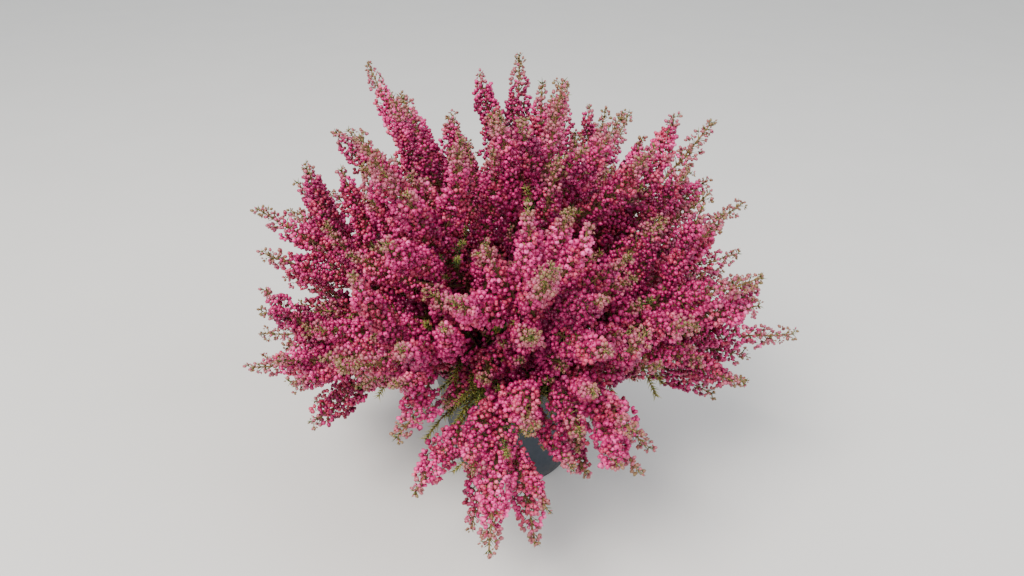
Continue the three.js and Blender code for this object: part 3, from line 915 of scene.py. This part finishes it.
# A green twig that leans out over the rim: it sets out near level and bends down with the square of the way.
def rimTwig(stem):
    form = greenForm
    points = stem["points"]
    heights = points[: habit["steps"] // 3, 2]
    low = points[np.argmin(np.abs(heights - rng.uniform(*form["rimHeight"])))]
    turn, rise, sag = (rng.uniform(*form[key]) for key in ("rimTurn", "rimRise", "rimSag"))
    length = rng.uniform(*form["rimLength"])
    heading = math.cos(turn) * stem["outward"] + math.sin(turn) * stem["side"]
    heading = heading * math.cos(rise) + math.sin(rise) * upward

    def direction(t):
        bend = sag * (np.asarray(t) / length) ** 2
        return unit(heading - bend[..., None] * upward)

    twig = follow(low, length, direction, stem["side"])
    x, y, z = twig["points"].T
    overPot = np.hypot(x, y) < potForm["rimRadius"] + form["rimGap"]
    if (z[overPot] < form["rimClear"]).any() or z.min() < form["rimLowest"]:
        return []
    return twigParts(twig, form["rimTone"], form["rimNeedle"])


# Thin stalks from a spire's line to the middles of its clusters, and on those in sight a bract that leans
# from its stalk by a share of a random direction.
def stalksOf(clusters):
    form = greenForm
    foot, away = clusters["foot"], clusters["middle"] - clusters["foot"]
    reach = np.linalg.norm(away, axis=1)
    tone = rng.uniform(*form["stalkTone"], len(reach))
    stalks = spikes(foot, unit(away), reach + form["stalkPast"], form["stalkWidth"], tone, barkLook)
    seen = clusters["looks"] > 0
    foot, away = foot[seen], away[seen]
    share = rng.uniform(*form["bractPlace"], len(away))
    lean = unit(unit(away) + form["bractLean"] * rng.normal(0, 1, (len(away), 3)))
    tone = rng.normal(*form["bractTone"], len(away))
    return [stalks, spikes(foot + away * share[:, None], lean, *form["bractSize"], tone, leafLook)]


# A stem's wood, its side branches, its needles, the stalks that hold the clusters, and its green twigs.
def greenOf(stem):
    form = greenForm
    leafy = stem["length"] * habit["leafyShare"]
    parts = [woodOn(stem, **form["stemWood"])]
    parts.append(needlesOn(stem, habit["rootDepth"] + form["footBare"], leafy, **form["stemNeedles"]))
    for spire, clusters in zip(stem["spires"], stem["clusters"]):
        line = spire["line"]
        if line is not stem:
            parts.append(woodOn(line, **form["sideWood"]))
            end = spire["bare"] + form["pastBare"]
            parts.append(needlesOn(line, form["branchBare"], end, **form["sideNeedles"]))
        upper = mix(spire["start"], line["length"], form["spireFrom"])
        parts.append(needlesOn(line, upper, line["length"] - form["tipBare"], **form["spireNeedles"]))
        parts += stalksOf(clusters)
    for shoot in stem["shoots"]:
        parts += twigParts(shoot, form["shootTone"], form["twigNeedle"])
    for _ in range(form["twigs"]):
        s = stem["length"] * rng.uniform(*form["twigStart"])
        turn, opening, length = (rng.uniform(*v) for v in (anyTurn, form["twigOpen"], form["twigLength"]))
        twig = shootLine(stem, s, turn, opening, length)
        if (twig["points"][:, 2] > form["twigLowest"]).all():
            parts += twigParts(twig, form["twigTone"], form["twigNeedle"])
    if stem["rank"] > habit["leastShootRank"] / 2:
        for _ in range(form["rimTwigs"]):
            parts += rimTwig(stem)
    return parts


for stem in stems:
    stem["clusters"] = [clustersOf(spire) for spire in stem["spires"]]
flowerFronts = thinHidden([clusters for stem in stems for clusters in stem["clusters"]])
counts = np.zeros(2, int)
for stem in stems:
    flower = []
    for spire, clusters in zip(stem["spires"], stem["clusters"]):
        parts, made = bellsOf(spire, clusters)
        flower += parts
        counts += made
    green = greenOf(stem)
    number = f"{stem['i'] + 1:02d}"
    piece = addPiece(f"flowers_{number}", flower, [petal])
    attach(piece, "root")
    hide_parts(f"flower_spray_{number}")
    piece = addPiece(f"foliage_{number}", green, [leaf, bark])
    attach(piece, "root")
    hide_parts(f"leafy_stem_{number}")
print("flowers:", counts[0], "bells and", counts[1], "buds")


# Points on level circles: each radius times the cosine and the sine of equal parts of a turn.
def circles(radius, columns):
    turns = fullTurns(columns)
    return radius[:, None] * np.cos(turns), radius[:, None] * np.sin(turns)


# A surface of revolution: each row of the profile is a ring, but the first and the last are one point.
def lathe(profile, columns):
    radius, z = np.array(profile, float).T
    x, y = circles(radius[1:-1], columns)
    rings = np.stack(np.broadcast_arrays(x, y, z[1:-1, None]), axis=-1).reshape(-1, 3)
    return np.vstack([rings, [[0, 0, z[0]], [0, 0, z[-1]]]]), skinFaces(len(z) - 2, columns)


# Radius of the pot's tapered wall: it grows evenly from the foot to just under the collar's.
def wallRadius(z):
    return mix(potForm["footRadius"], potForm["rimRadius"] - potForm["collarStep"], z / potForm["height"])


# The pot's outline, from the middle of its underside round the rim to the middle of its floor. The wall has
# two low steps under the collar, where such pots rest in each other when stacked. Shares of the edge's
# rounding and of the collar's step shape the corners.
def potProfile():
    p = potForm
    collar, floor = p["height"] - p["collarHeight"], p["grooveDepth"] + p["wall"]
    edge, half, out = p["edgeRound"], p["grooveDepth"] / 2, p["collarStep"]
    steps = []
    for z in p["stepHeights"]:
        steps += [(wallRadius(z) - p["stepDepth"], z), (wallRadius(z), z + edge)]
    return [
        (0, 0), (p["grooveInner"], 0), (p["grooveInner"] + half, p["grooveDepth"]),
        (p["grooveOuter"] - half, p["grooveDepth"]), (p["grooveOuter"], 0),
        (p["footRadius"] - 2 * edge, 0), (p["footRadius"] - 0.7 * edge, 0.35 * edge),
        (wallRadius(edge), 1.4 * edge), *[(wallRadius(z), z) for z in p["wallRows"]],
        *steps,
        (wallRadius(collar), collar), (wallRadius(collar) + 0.8 * out, collar + 0.3 * edge),
        (wallRadius(collar) + out, collar + edge),
        (p["rimRadius"], p["height"] - edge), (p["rimRadius"] - 0.3 * edge, p["height"] - 0.3 * edge),
        (p["rimRadius"] - edge, p["height"]), (p["rimRadius"] - p["wall"] - edge, p["height"]),
        (wallRadius(collar) - p["wall"], collar), (wallRadius(floor) - p["wall"], floor), (0, floor),
    ]


# Upright rods through the floor's groove: circles about points on a ring, joined from low to high.
def drainRods():
    ring, radius = (potForm["grooveInner"] + potForm["grooveOuter"]) / 2, potForm["drainRadius"]
    low, high = potForm["grooveDepth"] / 2, potForm["grooveDepth"] + 2 * potForm["wall"]
    rod, faces = lathe([(0, low), (radius, low), (radius, high), (0, high)], potForm["drainColumns"])
    parts = []
    for angle in fullTurns(potForm["drainHoles"]):
        points = rod + [ring * math.cos(angle), ring * math.sin(angle), 0]
        parts.append((points, faces, points[:, :2], 0))
    return parts


# Cuts a piece with another's shape, keeps the result as its mesh, and takes the other away.
def cutBy(piece, cutter):
    modifier = piece.modifiers.new("cut", "BOOLEAN")
    modifier.operation, modifier.object, modifier.solver = "DIFFERENCE", cutter, "EXACT"
    shaped = piece.evaluated_get(bpy.context.evaluated_depsgraph_get())
    mesh = bpy.data.meshes.new_from_object(shaped)
    mesh.name = piece.name
    piece.modifiers.clear()
    piece.data = mesh
    bpy.data.objects.remove(cutter)


points, faces = lathe(potProfile(), potForm["columns"])
pot = addPiece("nurseryPot", [(points, faces, points[:, :2], 0)], [plastic])
cutBy(pot, addPiece("drainRods", drainRods(), []))
pot.data.uv_layers.remove(pot.data.uv_layers["OFBake"])
pot.data.set_sharp_from_angle(angle=potForm["sharpAngle"])
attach(pot, "root")
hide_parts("pot")


# The peat's top is the peat height plus a fine roughness, on rings from the wall to the middle. Under them
# is one ring round its foot.
def peatSurface():
    form, inset = peatForm, potForm["wall"] + habit["seatGap"]
    edge = wallRadius(form["top"] - form["dome"]) - inset
    bottom = potForm["grooveDepth"] + inset
    radius = edge * (1 - np.arange(form["rings"]) / form["rings"])
    x, y = circles(radius, form["columns"])
    grain = rng.normal(0, form["grain"], x.shape) * np.minimum(1, radius / form["calmMiddle"])[:, None]
    top = np.stack([x, y, peatHeight(x, y) + grain], axis=-1).reshape(-1, 3)
    x, y = circles(np.array([wallRadius(bottom) - inset]), form["columns"])
    foot = np.column_stack([x[0], y[0], np.full(form["columns"], bottom)])
    points = np.vstack([foot, top, [[0, 0, bottom], [0, 0, peatHeight(0, 0)]]])
    return points, skinFaces(form["rings"] + 1, form["columns"])


octahedron = [[0, 1, 2], [1, 3, 2], [3, 4, 2], [4, 0, 2], [1, 0, 5], [3, 1, 5], [4, 3, 5], [0, 4, 5]]


# Crumbs on the peat: the six corners of an octahedron, each at its own distance from the crumb's middle.
def peatCrumbs():
    form, n = peatForm, peatForm["crumbs"]
    radius = (wallRadius(form["top"]) - form["crumbsInside"]) * np.sqrt(rng.uniform(0, 1, n))
    turn = rng.uniform(0, 2 * np.pi, n)
    x, y = radius * np.cos(turn), radius * np.sin(turn)
    size = rng.uniform(*form["crumbSize"], n)
    middle = np.column_stack([x, y, peatHeight(x, y) + form["crumbRise"] * size])
    reach = size[:, None] * rng.uniform(*form["crumbCorner"], (n, 6))
    corners = middle[:, None] + np.vstack([np.eye(3), -np.eye(3)])[None] * reach[..., None]
    return corners.reshape(-1, 3), repeated(octahedron, n, 6)


parts = [(points, faces, points[:, :2], 0) for points, faces in (peatSurface(), peatCrumbs())]
peat = addPiece("peatFill", parts, [peatStuff])
peat.data.uv_layers.remove(peat.data.uv_layers["OFBake"])
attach(peat, "root")
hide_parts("peat")
print("pot and peat: done")


# Places and sizes are in metres here.
stageLook = {
    "floor": "#dddcd7", "floorHalf": 40.0,
    "floorNoise": {"Scale": 9.0, "Detail": 5.0},
    "floorTint": {"To Min": 0.96, "To Max": 1.02},
    "floorRoughness": 0.6, "sky": "#eef1f6", "skyStrength": 1.05, "target": (0, 0, 0.15),
    "lights": {
        "key": {"place": (-0.7, -0.9, 1.7), "size": (1.0, 0.8), "power": 57, "colour": "#fff8f2"},
        "fill": {"place": (1.3, -0.4, 1.2), "size": (1.2, 1.0), "power": 13, "colour": "#f2f6ff"},
    },
}


# A wide painted floor: matt and nearly white, with a faint tint from a slow noise.
def makeFloor():
    size = stageLook["floorHalf"]
    mesh = bpy.data.meshes.new("floor")
    corners = [(-size, -size, 0), (size, -size, 0), (size, size, 0), (-size, size, 0)]
    mesh.from_pydata(corners, [], [(0, 1, 2, 3)])
    material, add, shader = newMaterial("paintedFloor")
    place = add("TexCoord", out="Object")
    noise = add("TexNoise", Vector=place, **stageLook["floorNoise"])
    tint = add("MapRange", i0=noise, **stageLook["floorTint"])
    colour = add("Mix", colourTimes, 2, i0=1.0, i6=linear(stageLook["floor"]), i7=tint)
    setInputs(shader, {"Base Color": colour, "Roughness": stageLook["floorRoughness"]})
    mesh.materials.append(material)
    floor = addObject("floor", mesh)


# An even sky all round.
def makeSky():
    world = bpy.data.worlds.new("studio")
    world.use_nodes = True
    sky = {"Color": linear(stageLook["sky"]), "Strength": stageLook["skyStrength"]}
    setInputs(world.node_tree.nodes["Background"], sky)
    bpy.context.scene.world = world


# Adds a lamp or camera at a place, turned to look along a direction.
def addAimed(name, data, place, facing):
    holder = addObject(name, data)
    holder.location = place
    holder.rotation_euler = facing.to_track_quat("-Z", "Y").to_euler()
    return holder


# A flat lamp that faces the target.
def addLight(name, place, size, power, colour):
    lamp = bpy.data.lights.new(name, "AREA")
    lamp.shape, lamp.size, lamp.size_y = "RECTANGLE", size[0], size[1]
    lamp.energy = power
    lamp.color = linear(colour)[:3]
    addAimed(name, lamp, place, Vector(stageLook["target"]) - Vector(place))


cameraLook = {
    "pitch": math.radians(30.5), "distance": 0.57, "target": (0.0, 0.0, 0.15), "lens": 27.4, "sensor": 36,
}


# The camera stands in front, back from its target by the distance, and looks down by the pitch.
def makeCamera():
    pitch, target = cameraLook["pitch"], Vector(cameraLook["target"])
    back = Vector((0, -math.cos(pitch), math.sin(pitch)))
    camera = bpy.data.cameras.new("camera")
    camera.lens, camera.sensor_width = cameraLook["lens"], cameraLook["sensor"]
    place = target + back * cameraLook["distance"]
    bpy.context.scene.camera = addAimed("camera", camera, place, -back)


makeFloor()
makeSky()
for name, light in stageLook["lights"].items():
    addLight(name, **light)
makeCamera()
print("stage: done")

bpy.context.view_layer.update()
